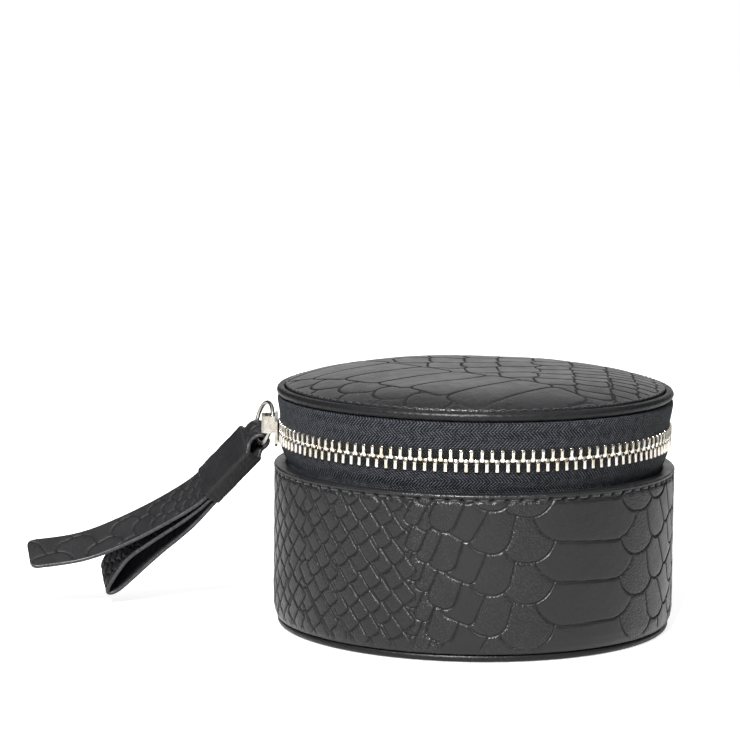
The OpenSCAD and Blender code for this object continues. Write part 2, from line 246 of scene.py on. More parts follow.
class Shader:
    """A node tree of a material or a world, with short calls for its nodes. skin is its main node."""

    def __init__(self, name, kind="materials", skin="Principled BSDF"):
        self.owner = getattr(bpy.data, kind).new(name)
        self.owner.use_nodes = True
        self.tree = self.owner.node_tree
        self.skin = self.tree.nodes[skin]

    def add(self, kind, inputs=None, **settings):
        made = self.tree.nodes.new("ShaderNode" + kind)
        for key, value in settings.items():
            setattr(made, key, value)
        for key, value in (inputs or {}).items():
            self.put(made.inputs[key], value)
        return made

    def put(self, socket, value):
        if isinstance(value, bpy.types.NodeSocket):
            self.tree.links.new(value, socket)
        elif isinstance(value, (tuple, list)) and len(value) == 3 and socket.type == "RGBA":
            socket.default_value = (*value, 1)
        else:
            socket.default_value = value

    def math(self, operation, a, b=0.0, c=0.0):
        return self.add("Math", {0: a, 1: b, 2: c}, operation=operation).outputs[0]

    def times(self, a, b):
        return self.math("MULTIPLY", a, b)

    def plus(self, a, b):
        return self.math("ADD", a, b)

    def sine(self, value, pitch):
        """A sine of the value between 0 and 1, repeating at the pitch."""
        return self.math("MULTIPLY_ADD", self.math("SINE", self.times(value, TAU / pitch)), 0.5, 0.5)

    def vector(self, operation, a, b):
        return self.add("VectorMath", {0: a, 1: b}, operation=operation).outputs[0]

    def place(self):
        return self.add("TexCoord").outputs["Object"]

    def mark(self, name, output="Fac"):
        """Values kept on the mesh."""
        return self.add("Attribute", attribute_name=name, attribute_type="GEOMETRY").outputs[output]

    def noise(self, scale, detail=3.0, rough=0.5, at=None, output="Fac"):
        where = self.place() if at is None else at
        return self.add("TexNoise", {"Vector": where, "Scale": scale, "Detail": detail,
                                     "Roughness": rough}).outputs[output]

    def cells(self, scale, feature="F1", at=None):
        where = self.place() if at is None else at
        return self.add("TexVoronoi", {"Vector": where, "Scale": scale},
                        feature=feature).outputs["Distance"]

    def ramp(self, value, stops):
        """A ramp from (position, grey or colour) stops."""
        made = self.add("ValToRGB", {"Fac": value})
        ramp = made.color_ramp
        while len(ramp.elements) < len(stops):
            ramp.elements.new(0.5)
        for element, (at, colour) in zip(ramp.elements, stops):
            element.position = at
            element.color = (*colour, 1) if hasattr(colour, "__len__") else (colour,) * 3 + (1,)
        return made.outputs["Color"]

    def scaled(self, value, low, high, to_low, to_high):
        return self.add("MapRange", {"Value": value, "From Min": low, "From Max": high,
                                     "To Min": to_low, "To Max": to_high}).outputs["Result"]

    def mix(self, share, a, b):
        return self.add("Mix", {0: share, 6: a, 7: b}, data_type="RGBA").outputs[2]

    def bump(self, height, strength, distance_mm, under=None):
        inputs = {"Height": height, "Strength": strength, "Distance": distance_mm * MM}
        if under is not None:
            inputs["Normal"] = under
        return self.add("Bump", inputs).outputs["Normal"]

    def finish(self, colour, roughness, normal=None, **plain):
        self.put(self.skin.inputs["Base Color"], colour)
        self.put(self.skin.inputs["Roughness"], roughness)
        if normal is not None:
            self.put(self.skin.inputs["Normal"], normal)
        for key, value in plain.items():
            self.put(self.skin.inputs[key.replace("_", " ")], value)
        return self.owner


PEBBLE = 0.5
# near black: painted shade for the embossed grooves
GROOVE_SHADE = (0.0008, 0.0008, 0.001)


def leather(name, dark, light, rough, grain_depth=0.075, relief=False, creases=0.0, specular=0.26):
    """Satin leather: fine pebbles, faint creases and cloudy colour.

    relief is set where the mesh keeps its embossing: the grooves get painted shade, near black, and are
    duller.
    """
    s = Shader(name)
    tone = s.plus(s.times(s.noise(60, 4, 0.6), 0.65), s.times(s.noise(900, 3, 0.6), 0.35))
    colour = s.ramp(tone, [(0.32, dark), (0.68, light)])
    pebbles = s.scaled(s.cells(1 / (PEBBLE * MM)), 0.12, 0.62, 1.0, 0.0)
    dots = s.times(pebbles, s.mark("grain") if relief else 0.6)
    # lighter pebble tops: the grain's own tone, with a painted highlight on the tops as well
    colour = s.mix(s.times(dots, 0.4), colour, tuple(c * 4.0 for c in light))
    normal = s.bump(dots, 1.0, grain_depth)
    normal = s.bump(s.noise(2600, 2), 0.25, 0.04, normal)
    if creases:
        where = s.place()
        wobble = s.noise(220, 2, at=where, output="Color")
        where = s.vector("ADD", where, s.vector("MULTIPLY", wobble, (0.004, 0.004, 0.004)))
        crease = s.scaled(s.cells(420, "DISTANCE_TO_EDGE", where), 0.0, 0.12, 0.0, 1.0)
        normal = s.bump(crease, creases, 0.06, normal)
    roughness = s.scaled(s.noise(240, 3, 0.6), 0.3, 0.7, *rough)
    if relief:
        height = s.mark("relief")
        line = s.scaled(height, 0.15, 0.85, 1.0, 0.0)
        # painted shade in the grooves: the colour goes near black where the mark falls to a line
        colour = s.mix(line, colour, GROOVE_SHADE)
        roughness = s.math("MULTIPLY_ADD", line, 0.5, roughness)
        normal = s.bump(height, 1.0, 0.11, normal)
    return s.finish(colour, roughness, normal, Specular_IOR_Level=specular)


def zip_cloth(name):
    """Woven zip tape: bands of diagonal ribs that lean to one side and then to the other, painted darker
    in their dips and lighter on their tops.
    """
    s = Shader(name)
    along, across, _ = s.add("SeparateXYZ", {0: s.mark("weave", "Vector")}).outputs
    band_height, rib_pitch, pick_pitch = 1.9, 0.62 * 1.38, 0.42
    wobble = s.times(s.math("SUBTRACT", s.noise(500, 2), 0.5), 0.35)
    across = s.plus(across, s.times(wobble, 0.6))
    band = s.math("ABSOLUTE", s.math("FLOOR", s.math("DIVIDE", across, band_height)))
    lean = s.math("SUBTRACT", s.times(s.math("MODULO", band, 2.0), 2.0), 1.0)
    slanted = s.plus(s.plus(along, s.times(s.times(across, lean), 0.95)), wobble)
    ribs = s.times(s.sine(slanted, rib_pitch), 0.65)
    height = s.math("MULTIPLY_ADD", s.sine(across, pick_pitch), 0.35, ribs)
    height = s.math("MULTIPLY_ADD", s.noise(2400, 2, 0.6), 0.35, height)
    height = s.times(height, s.scaled(s.noise(800, 3, 0.6), 0.35, 0.7, 0.75, 1.15))
    # painted shade and highlight: the weave's dips go near black and the rib tops lighter
    colour = s.ramp(height, [(0.36, (0.0004, 0.0005, 0.0008)), (0.62, (0.004, 0.0048, 0.0065)),
                             (0.97, (0.052, 0.056, 0.066))])
    # painted shade under the teeth: the tape goes near black close to the zip's middle
    cord = s.scaled(s.mark("edge"), 2.2, 3.2, 0.85, 0.0)
    colour = s.mix(cord, colour, (0.0006, 0.0006, 0.0008))
    return s.finish(colour, 0.7, s.bump(height, 1.0, 0.3), Specular_IOR_Level=0.15, Sheen_Weight=0.02,
                    Sheen_Roughness=0.4, Sheen_Tint=(0.45, 0.5, 0.6))


def suede(name, dark, light):
    """Brushed microsuede: short nap in soft patches, with a sheen at the edges."""
    s = Shader(name)
    nap = s.noise(70, 4, 0.62)
    fuzz = s.noise(3200, 3, 0.7)
    tone = s.plus(s.times(nap, 0.6), s.times(fuzz, 0.4))
    colour = s.ramp(tone, [(0.3, dark), (0.72, light)])
    normal = s.bump(fuzz, 0.5, 0.12, s.bump(nap, 0.35, 0.5))
    return s.finish(colour, 0.92, normal, Specular_IOR_Level=0.2, Sheen_Weight=0.6,
                    Sheen_Roughness=0.35, Sheen_Tint=(0.9, 0.85, 0.8))


def metal(name, tint, warm, rough):
    """Polished plate: slightly warm in patches, with fine rubbing marks."""
    s = Shader(name)
    colour = s.mix(s.scaled(s.noise(350), 0.35, 0.7, 0.0, 1.0), tint, warm)
    roughness = s.scaled(s.noise(1500, 2), 0.3, 0.7, rough, rough + 0.14)
    return s.finish(colour, roughness, s.bump(s.noise(700, 2), 0.25, 0.04), Metallic=1.0)


def thread(name, colour, lighter):
    """Twisted thread: fine slanted turns."""
    s = Shader(name)
    twist = s.add("TexWave", {"Vector": s.place(), "Scale": 900.0, "Distortion": 2.0, "Detail": 1.0},
                  bands_direction="DIAGONAL").outputs["Fac"]
    tone = s.mix(twist, colour, lighter)
    normal = s.bump(twist, 0.6, 0.05, s.bump(s.noise(4000), 0.3, 0.03))
    return s.finish(tone, 0.6, normal, Sheen_Weight=0.2)


def fibreboard(name):
    """Grey-brown card with short fibres."""
    s = Shader(name)
    grain = s.noise(500, 5, 0.7, at=s.vector("MULTIPLY", s.place(), (1.0, 1.0, 6.0)))
    colour = s.ramp(grain, [(0.3, (0.19, 0.145, 0.10)), (0.7, (0.42, 0.34, 0.25))])
    return s.finish(colour, 0.85, s.bump(grain, 0.4, 0.1))


def sponge(name):
    """Open-cell foam."""
    s = Shader(name)
    holes = s.cells(1100)
    # painted shade in the pores: darker at the middle of each cell
    colour = s.ramp(holes, [(0.1, (0.42, 0.34, 0.2)), (0.6, (0.78, 0.69, 0.49))])
    return s.finish(colour, 0.9, s.bump(holes, 0.8, 0.3), Subsurface_Weight=0.1)


BLACK, SOOT, CHARCOAL = (0.006, 0.006, 0.0065), (0.009, 0.009, 0.0097), (0.016, 0.016, 0.0175)
embossed = leather("embossed_leather", BLACK, SOOT, (0.28, 0.38), 0.088, relief=True, specular=0.32)
plain = leather("plain_leather", BLACK, CHARCOAL, (0.36, 0.5), creases=0.35)
piping_skin = leather("piping_leather", BLACK, BLACK, (0.34, 0.46), 0.02, creases=0.4, specular=0.18)
strap_skin = leather("strap_leather", BLACK, SOOT, (0.45, 0.6), relief=True, creases=0.2)
strap_back = leather("strap_back_leather", (0.006, 0.006, 0.007), SOOT, (0.5, 0.65))
edge_paint = leather("edge_paint", SOOT, (0.036, 0.036, 0.04), (0.32, 0.42), 0.02)
tape_cloth = zip_cloth("zip_tape_cloth")
tooth_metal = metal("zip_tooth_metal", (0.84, 0.82, 0.78), (0.58, 0.50, 0.36), 0.12)
nickel = metal("polished_nickel", (0.52, 0.51, 0.48), (0.36, 0.32, 0.25), 0.2)
nap_cloth = suede("microsuede", (0.085, 0.072, 0.062), (0.17, 0.148, 0.128))
pad_cloth = suede("pad_microsuede", (0.10, 0.086, 0.075), (0.20, 0.175, 0.152))
black_thread = thread("black_thread", (0.0015, 0.0015, 0.002), (0.012, 0.012, 0.014))
cord_cotton = thread("cotton_cord", (0.5, 0.46, 0.38), (0.74, 0.70, 0.60))
board = fibreboard("fibreboard")
foam = sponge("foam")


def dress(name, material, bevel):
    """Gives a carried-over CAD node its material, and rounds its edges by bevel mm."""
    obj = nodes[name]
    obj.data.materials.clear()
    obj.data.materials.append(material)
    if bevel:
        rounding = obj.modifiers.new("soft_edges", "BEVEL")
        rounding.width = bevel * MM
        rounding.segments = 2
        rounding.limit_method = "ANGLE"
        rounding.angle_limit = math.radians(35)


# ---------------- embossed scales


def scale_height(x, y, scales):
    """Distance in mm from points x, y to the nearest visible outline, and how pebbled their scales are.

    Each scale is (x, y, half width, half height, corner radius, lean in degrees, how pebbled it is).
    Later ones lie over earlier ones.
    """
    shape, x, y = x.shape, x.ravel(), y.ravel()
    edge, grain = np.full(x.shape, 9.0), np.full(x.shape, 0.5)
    rows = np.argsort(x, kind="stable")
    sorted_x = x[rows]
    for cx, cy, half_w, half_h, corner, lean, pebbled in scales:
        reach = math.hypot(half_w, half_h) + 1.0
        first, last = np.searchsorted(sorted_x, [cx - reach, cx + reach])
        here = rows[first:last]
        here = here[np.abs(y[here] - cy) < reach]
        if not len(here):
            continue
        c, s = math.cos(math.radians(lean)), math.sin(math.radians(lean))
        dx, dy = x[here] - cx, y[here] - cy
        u, v = np.abs(dx * c + dy * s), np.abs(dy * c - dx * s)
        corner = min(corner, half_w, half_h)
        qx, qy = u - half_w + corner, v - half_h + corner
        outside = np.hypot(np.maximum(qx, 0), np.maximum(qy, 0))
        depth = corner - outside - np.minimum(np.maximum(qx, qy), 0)
        inside = depth > 0
        edge[here] = np.where(inside, depth, np.minimum(edge[here], -depth))
        grain[here] = np.where(inside, pebbled, grain[here])
    return edge.reshape(shape), grain.reshape(shape)


def scale_columns(columns, low, high, rng):
    """Scales stacked in columns, lower ones first.

    Each column is (x, height of a lowest edge, period, half width, half height, corner, lean, grain).
    """
    scales = []
    for x, foot, period, half_w, half_h, corner, lean, grain in columns:
        y = foot - period * math.ceil((foot - low) / period + 1)
        while y < high + period:
            a, b, c, d, e = rng.uniform(-1, 1, 5)
            size = 1 + 0.04 * a
            scales.append((x + 0.2 * b, y + half_h + 0.06 * period * c, half_w * size, half_h * size,
                           corner, lean + 5 * d, np.clip(grain + 0.15 * e, 0, 1)))
            y += period
    return sorted(scales, key=lambda s: s[1] - s[3])


# one band of python skin, from its middle outwards: (distance from the middle, height of a lowest edge,
# period, half width, half height, corner radius, lean, grain)
BAND = [
    (0.0, 7.8, 10.3, 15.4, 8.6, 8.2, 0.0, 0.25), (16.5, 2.8, 10.5, 7.0, 7.6, 6.6, 0.0, 0.95),
    (25.2, 6.0, 10.1, 5.0, 7.2, 4.4, 10.0, 0.6), (31.0, 9.6, 9.9, 4.1, 6.6, 1.9, 26.0, 0.2),
    (36.2, 5.0, 8.6, 3.3, 5.2, 2.6, 20.0, 0.8), (40.4, 3.2, 6.9, 1.95, 4.3, 1.5, 24.0, 1.0),
    (43.4, 6.2, 6.6, 1.9, 4.1, 1.4, 22.0, 1.0)]
# the diamonds between the bands: step from column to column, then the same from the period on
DIAMOND = (3.05, 6.1, 1.95, 2.75, 0.9, 37.0, 0.5)


def wall_columns(rng):
    """Two bands of wide scales round the case, with diamonds between them."""
    columns = []
    apart = math.pi * WALL_R
    step, period, half_w, half_h, corner, lean, grain = DIAMOND
    for band in (BAND_AT, BAND_AT - apart, BAND_AT + apart):
        for side in (-1, 1):
            for column in BAND[0 if side > 0 else 1:]:
                columns.append((band + side * column[0], *column[1:6], side * column[6], column[7]))
            at, odd = BAND[-1][0] + step, 0
            while at < apart / 2:
                columns.append((band + side * at, 2.0 + odd * period / 2 + rng.uniform(-0.5, 0.5), period,
                                half_w, half_h, corner, -side * lean, grain))
                at, odd = at + step * rng.uniform(0.94, 1.06), 1 - odd
    return columns


def embossed_skin(edge, x, y, seed):
    """Height in mm and mark from 0 in a line to 1 on a scale, with puffed scales and small wrinkles. The
    mark sets painted shade in the lines.
    """
    depth, line = 0.22, np.exp(-(edge / 0.18) ** 2)
    puff = 1 - np.exp(-edge / 0.45)
    lumps = value_noise(x / 2.2, y / 2.2, seed) * 0.5 + value_noise(x / 0.9, y / 0.9, seed + 1) * 0.5
    height = -depth * line - 0.12 * (1 - puff) + 0.03 * lumps
    return height, 1 - line


# ---------------- base


STITCH_Z = RIM_Z - 1.4
STITCH_PITCH = 3.55
STITCH_COUNT = int(round(TAU * WALL_R / STITCH_PITCH))


def base_wall():
    """The drum's leather: embossed outside, folded over the rim and turned in."""
    count, relief_from = 1180, 2
    outer = [(TURN_R + 0.1, FOOT_Z), (WALL_R - 0.85, FOOT_Z), (WALL_R - 0.3, 3.2), (WALL_R, 5.0),
             (WALL_R, RIM_Z - 0.75)]
    outer = np.concatenate([resample(outer[:4], 0.6)[:-1], resample(outer[3:], 0.28)])
    rim_steps = 6
    rim = fillet([(WALL_R, RIM_Z - 2), (WALL_R, RIM_Z), (TURN_R, RIM_Z), (TURN_R, RIM_Z - 2)],
                 [0, 0.75, 0.65, 0], rim_steps)[1:-1]
    inner = np.array([(TURN_R, TURN_END_Z), (TURN_R + 0.5, TURN_END_Z), (TURN_R + 0.5, RIM_Z - 1),
                      (WALL_R - 1, RIM_Z - 1), (WALL_R - 1, 5.0), (WALL_R - 1.6, FOOT_Z + 1),
                      (TURN_R + 0.1, FOOT_Z + 1)])
    profile = np.concatenate([outer[:-1], rim, inner])
    angles = np.arange(count) * 360 / count
    points = turned(profile, angles)
    a = np.repeat(angles[:, None], len(profile), 1)
    z = points[..., 2]
    x = ((a - FACING + 180) % 360 - 180) * math.radians(1) * WALL_R
    # only the outside, from above the seam to over the rim, is embossed and gets painted shade in its
    # lines
    face = np.zeros(x.shape, bool)
    face[:, relief_from:len(outer) + rim_steps + 1] = True
    rng = np.random.RandomState(11)
    scales = scale_columns(wall_columns(rng), 1.0, RIM_Z - 1.0, rng)
    edge, grain = np.full(x.shape, 9.0), np.full(x.shape, 0.5)
    edge[face], grain[face] = scale_height(x[face], z[face], scales)
    height, mark = embossed_skin(edge, x, z, 5)
    # the embossing and its painted line shade fade at the foot's seam and over the folded rim
    keep = smooth((z - FOOT_Z) / 2.0) * smooth((RIM_Z - 0.5 - z) / 1.2)
    height, mark = height * keep, 1 - (1 - mark) * keep
    turn = (a / 360 * STITCH_COUNT) % 1.0
    hole = np.minimum(turn, 1 - turn) * STITCH_PITCH
    dz = z - STITCH_Z
    pit = np.exp(-((hole / 0.5) ** 2 + (dz / 0.45) ** 2))
    trench = np.exp(-((dz / 0.6) ** 2))
    fold = 0.10 * np.exp(-(((z - RIM_Z + 0.55) / 0.5) ** 2))
    ripple = 0.05 * value_noise(a / 360 * 240, z / 1.5, 31, 240) * np.exp(-(((z - RIM_Z) / 1.4) ** 2))
    height = height - 0.5 * pit - 0.2 * trench + fold + ripple
    # painted shade: the stitch holes, and more faintly the trench under the rim, get the near-black groove
    # colour
    mark = mark * (1 - 0.95 * pit) * (1 - 0.35 * trench)
    height, mark = np.where(face, height, 0), np.where(face, mark, 1)
    shrink = 1 + height / WALL_R
    points[..., :2] *= shrink[..., None]
    faces = grid_faces(count, len(profile), True, True)
    make("wall_leather", points.reshape(-1, 3), faces, embossed, "case", "embossed_leather",
         ["base_wall_leather"], {"relief": mark.ravel(), "grain": grain.ravel()})


def thread_run(name, places, body, radius):
    """Stitches as short threads. places is a list of (middle, direction, outward, length) in mm."""
    sides, rings = 8, 9
    angle = np.arange(sides) * TAU / sides
    t = np.linspace(-1, 1, rings)
    points, faces = [], []
    for middle, along, out, length in places:
        along, out = np.array(along, float), np.array(out, float)
        across = np.cross(along, out)
        start = len(points) * sides * rings
        sink = -radius * 2.2 * np.abs(t) ** 3.0
        size = radius * np.sqrt(np.clip(1 - np.abs(t) ** 6, 0.02, 1))
        line = np.array(middle) + np.outer(t * length / 2, along) + np.outer(sink, out)
        ring = (np.outer(np.cos(angle), out) + np.outer(np.sin(angle), across))
        points.append((line[:, None] + size[:, None, None] * ring[None]).reshape(-1, 3))
        faces += [[start + k for k in f] for f in tube_faces(rings, sides, -1)]
    make(name, np.concatenate(points), faces, black_thread, body)


def ring_places(count, radius, z, length, up=None):
    """Places of stitches that run round at a radius and height, facing outward or in the direction up."""
    places = []
    for k in range(count):
        a = (k + 0.5) * TAU / count
        x, y = math.cos(a), math.sin(a)
        places.append(((radius * x, radius * y, z), (-y, x, 0), up or (x, y, 0), length))
    return places


def piping(name, at, z, r, count, body, node, seed, wrinkle_depth):
    """Leather piping over a cord: a ring with small gathers."""
    around = np.arange(22) * TAU / 22
    profile = np.stack([at + r * np.cos(around), z + r * np.sin(around)], -1)

    def gathers(a, rr, zz):
        side = np.arctan2(zz - z, rr - at)
        lumps = value_noise(a * count / 360 / 4, side * 1.3, seed, count // 4)
        small = value_noise(a * count / 360 / 1.5, side * 2.2, seed + 1, int(count / 1.5))
        swell = wrinkle_depth * (0.6 * lumps + 0.4 * small) - wrinkle_depth * 0.5
        return swell * np.cos(side), swell * np.sin(side)

    full_ring(name, profile, count, piping_skin, wrinkle=gathers, body=body, slot="plain_leather",
              replaces=[node])


# ---------------- zip


def run_of(line):
    """The distance along a polyline to each of its points."""
    return np.concatenate([[0], np.cumsum(np.linalg.norm(np.diff(line, axis=0), axis=1))])


def weave_marks(profile, angles):
    """Distance along a swept tape and across it, and from the zip's middle, in mm."""
    along = np.radians(angles) * WALL_R
    weave = np.stack(np.broadcast_arrays(along[:, None], run_of(profile)[None], 0.0), -1)
    return {"weave": weave.reshape(-1, 3), "edge": np.tile(np.abs(profile[:, 1] - ZIP_Z), len(angles))}


def tape(name, outer, inner, node):
    """One zip tape with its corded edge, soft waves and weave."""
    profile = np.concatenate([resample(outer, 0.4), resample(inner, 0.8)])

    def waves(a, r, z):
        free = smooth((np.abs(z - ZIP_Z) - 2.5) / 3.0) * (z > RIM_Z + 0.3) * (z < LID_BASE_Z - 0.4)
        swell = value_noise(a / 9.0, z / 6.0, 41) * 0.12 * free
        return swell, 0

    swept_arc(name, profile, TAPE_FROM, TAPE_TO, 0.5, tape_cloth, wrinkle=waves,
              marks=weave_marks, slot="zip_tape", replaces=[node],
              body="lid" if "upper" in node else "case")


def by_zip(*steps):
    """Points given as steps outward from the tape and upward from the zip's middle."""
    return [(TAPE_R + r, ZIP_Z + z) for r, z in steps]


def zip_tapes():
    """Both tapes, as an outer line from the bead away from the zip and an inner line back to it."""
    bead = by_zip((-TAPE_T - 0.05, 1.3), (-0.45, 0.55), (-0.1, 0.5), (0.12, 0.75), (0.12, 1.15))
    outer = bead + by_zip((0, 1.6), (0, 3.4), (0.2, 4.9), (0.5, 6.7), (0.7, 7.9), (0.65, 8.6), (0.2, 9.1))
    outer += [(TAPE_R - 0.5, LID_BASE_Z - 0.1)]
    inner = [(47.65, LID_BASE_Z - 0.1), (47.65, LID_BASE_Z - 0.7)]
    inner += by_zip((-0.3, 8.3), (-0.1, 6.9), (-0.4, 4.9), (-0.6, 3.4))
    tape("zip_tape_top", outer, inner, "zip_tape_upper")
    outer = [(r, 2 * ZIP_Z - z) for r, z in bead]
    outer += by_zip((0, -1.6), (0, -2.5), (-0.4, -4.1), (-1.1, -5.9))
    outer += [(46.95, RIM_Z + 0.75), (46.76, RIM_Z - 0.1), (46.75, TURN_END_Z)]
    inner = [(46.15, TURN_END_Z), (46.15, RIM_Z + 0.8)]
    inner += by_zip((-1.7, -5.6), (-1.0, -3.9), (-0.6, -2.4))
    tape("zip_tape_bottom", outer, inner, "zip_tape_lower")


def tooth_points():
    """One tooth of the upper row about the zip's centre line, as points of (radius, tangent, height)."""
    side = [(0.4, 2.65), (0.4, 0.72), (0.58, 0.4), (0.58, -0.1), (0.34, -0.42)]
    rounding = [0.16, 0.3, 0.15, 0.12, 0.12]
    head = fillet([(-x, z) for x, z in side] + side[::-1], rounding + rounding[::-1], 2)
    inward = head - np.array([0, 1.1])
    inward /= np.linalg.norm(inward, axis=1)[:, None]
    r_in, r_out, edge = WALL_R - 2.8, WALL_R - 0.9, 0.14
    loops = []
    for r, inset in ((r_in, edge), (r_in + edge, 0), (r_out - edge, 0), (r_out - 0.04, edge * 0.6),
                     (r_out, edge * 1.6)):
        flat = head - inward * inset
        # the head is slimmer than the legs
        slim = 0.34 * np.clip((0.7 - flat[:, 1:]) / 1.1, 0, 1) * (1 if r < WALL_R - 2 else -1)
        loops.append(np.concatenate([r + slim, flat], 1))
    # a shallow dimple on the outer face
    centre = np.array([0, 0.9])
    flat = centre + (head - centre) * [0.35, 0.45]
    loops.append(np.concatenate([np.full((len(flat), 1), r_out - 0.02), flat], 1))
    return np.stack(loops)


def teeth(name, offset, flip, node, body):
    """A whole row of teeth as one piece."""
    shape = tooth_points()
    loops, sides = shape.shape[:2]
    one = tube_faces(loops, sides, -1)
    points, faces = [], []
    rng = np.random.RandomState(3 if flip else 4)
    for k in range(TOOTH_COUNT):
        a = math.radians(TEETH_FROM + (k + offset) * TOOTH_STEP + rng.uniform(-0.06, 0.06))
        tip = rng.uniform(-0.02, 0.02)
        r, t, h = shape[..., 0], shape[..., 1], shape[..., 2]
        t = t + tip * h
        z = ZIP_Z + (-h if flip else h)
        x = r * math.cos(a) - t * math.sin(a)
        y = r * math.sin(a) + t * math.cos(a)
        points.append(np.stack([x, y, z], -1).reshape(-1, 3))
        start = k * loops * sides
        for f in one:
            moved = [i + start for i in f]
            faces.append(moved[::-1] if flip else moved)
    make(name, np.concatenate(points), faces, tooth_metal, body, "zip_metal", [node])


# ---------------- lid


def dome_z(r):
    """Height of the padded top at a radius."""
    rise = DOME_TOP - (LID_PIPE_Z + 0.7)
    return LID_PIPE_Z + 0.7 + rise * (1 - (r / (WALL_R - 1)) ** 5)


def disc_grid(n, radius):
    """A square grid of n x n points laid over a disc, row by row."""
    u = np.linspace(-1, 1, n)
    x, y = np.meshgrid(u, u, indexing="ij")
    r = np.maximum(np.abs(x), np.abs(y))
    ratio = np.where(np.abs(x) >= np.abs(y), y / np.where(x == 0, 1, x), x / np.where(y == 0, 1, y))
    angle = np.where(np.abs(x) >= np.abs(y), math.pi / 4 * ratio + np.where(x < 0, math.pi, 0),
                     math.pi / 2 - math.pi / 4 * ratio + np.where(y < 0, math.pi, 0))
    angle = np.where(r == 0, 0, angle)
    return radius * r * np.cos(angle), radius * r * np.sin(angle)


def grid_border(n):
    """Indices of an n x n grid's border, in order round it."""
    i = np.arange(n * n).reshape(n, n)
    return np.concatenate([i[0, :-1], i[:-1, -1], i[-1, :0:-1], i[:0:-1, 0]])


def lid_scales(rng):
    """Small scales along the front left rim, a slanting row of long ones, then columns of short ones."""
    scales = []

    def lay(x, y, half_w, half_h, corner, lean):
        a, b, c, d = rng.uniform(-1, 1, 4)
        scales.append((x + 0.4 * a, y + 0.4 * b, half_w * (1 + 0.05 * c), half_h, corner, lean + 4 * d,
                       0.4 + 0.15 * c))

    slant, up = np.array([0.72, -0.69]), np.array([0.69, 0.72])
    row_middle = np.array([-12.0, -19.7])
    for row in range(5, 0, -1):
        for k in range(-6, 7):
            x, y = row_middle + slant * 11.0 * (k + row % 2 / 2) - up * (8.5 + 6.6 * row)
            lay(x, y, 5.7, 4.9, 4.2, -18.0)
    for k in range(-6, 7):
        x, y = row_middle + slant * 11.2 * k + up * 2.2
        lay(x, y, 6.0, 14.0, 2.8, -43.0)
    columns, x = [], -51.0
    while x < 52:
        wide = 9.2 - 4.0 * float(smooth((x - 22) / 20.0))
        tall = 10.8 - 6.2 * float(smooth((x - 8) / 28.0))
        y, corner = -x - 4.5, 0.33 * wide
        while y < 52:
            columns.append((x, y + tall * 0.62, wide * 0.54, tall * 0.64, corner, 3.0))
            y += tall * (1 + 0.05 * rng.uniform(-1, 1))
        x += wide * 0.96
    for column in sorted(columns, key=lambda c: c[1] - c[3]):
        lay(*column)
    return scales


def lid_panel():
    """The padded top: embossed leather pulled over foam, turned down behind the piping."""
    n = 301
    x, y = disc_grid(n, DOME_R)
    r = np.hypot(x, y)
    turn = math.radians(FACING - 270)
    right = x * math.cos(turn) + y * math.sin(turn)
    deep = -x * math.sin(turn) + y * math.cos(turn)
    edge, pebbled = scale_height(right, deep, lid_scales(np.random.RandomState(23)))
    height, mark = embossed_skin(edge, x, y, 61)
    keep = smooth((DOME_R - r) / 1.5)
    soft = value_noise(x / 14.0, y / 14.0, 71) * 0.22 * smooth((DOME_R - r) / 12.0)
    z = dome_z(r) + height * keep * 0.9 + soft
    mark = 1 - (1 - mark) * smooth((DOME_R - r) / 0.8)
    top = np.stack([x, y, z], -1).reshape(-1, 3)
    border = grid_border(n)
    faces = grid_faces(n, n)[:, ::-1].tolist()
    points, marks = [top], [mark.ravel()]
    edge_ring = top[border]
    angle = np.arctan2(edge_ring[:, 1], edge_ring[:, 0])
    before = border
    rings = [(DOME_R + 0.02, dome_z(DOME_R) - 0.5), (DOME_R, LID_BASE_Z), (DOME_R - 0.7, LID_BASE_Z),
             (DOME_R - 0.75, dome_z(DOME_R) - 1.2), (DOME_R - 8, dome_z(DOME_R - 8) - 1.0),
             (20.0, dome_z(20.0) - 1.0), (0.5, dome_z(0.5) - 1.0)]
    count = n * n
    for radius, ring_z in rings:
        points.append(np.stack([radius * np.cos(angle), radius * np.sin(angle), 0 * angle + ring_z], -1))
        marks.append(np.ones(len(border)))
        now = np.arange(len(border)) + count
        count += len(border)
        faces += np.stack([np.roll(before, -1), before, now, np.roll(now, -1)], -1).tolist()
        before = now
    faces.append(before[::-1].tolist())
    marks = np.concatenate(marks)
    grain = np.full(len(marks), 0.5)
    grain[:n * n] = pebbled.ravel()
    obj = make("lid_top_panel", np.concatenate(points), faces, embossed, "lid", "embossed_leather",
               ["lid_top_leather"], {"relief": marks, "grain": grain})


# ---------------- hinge


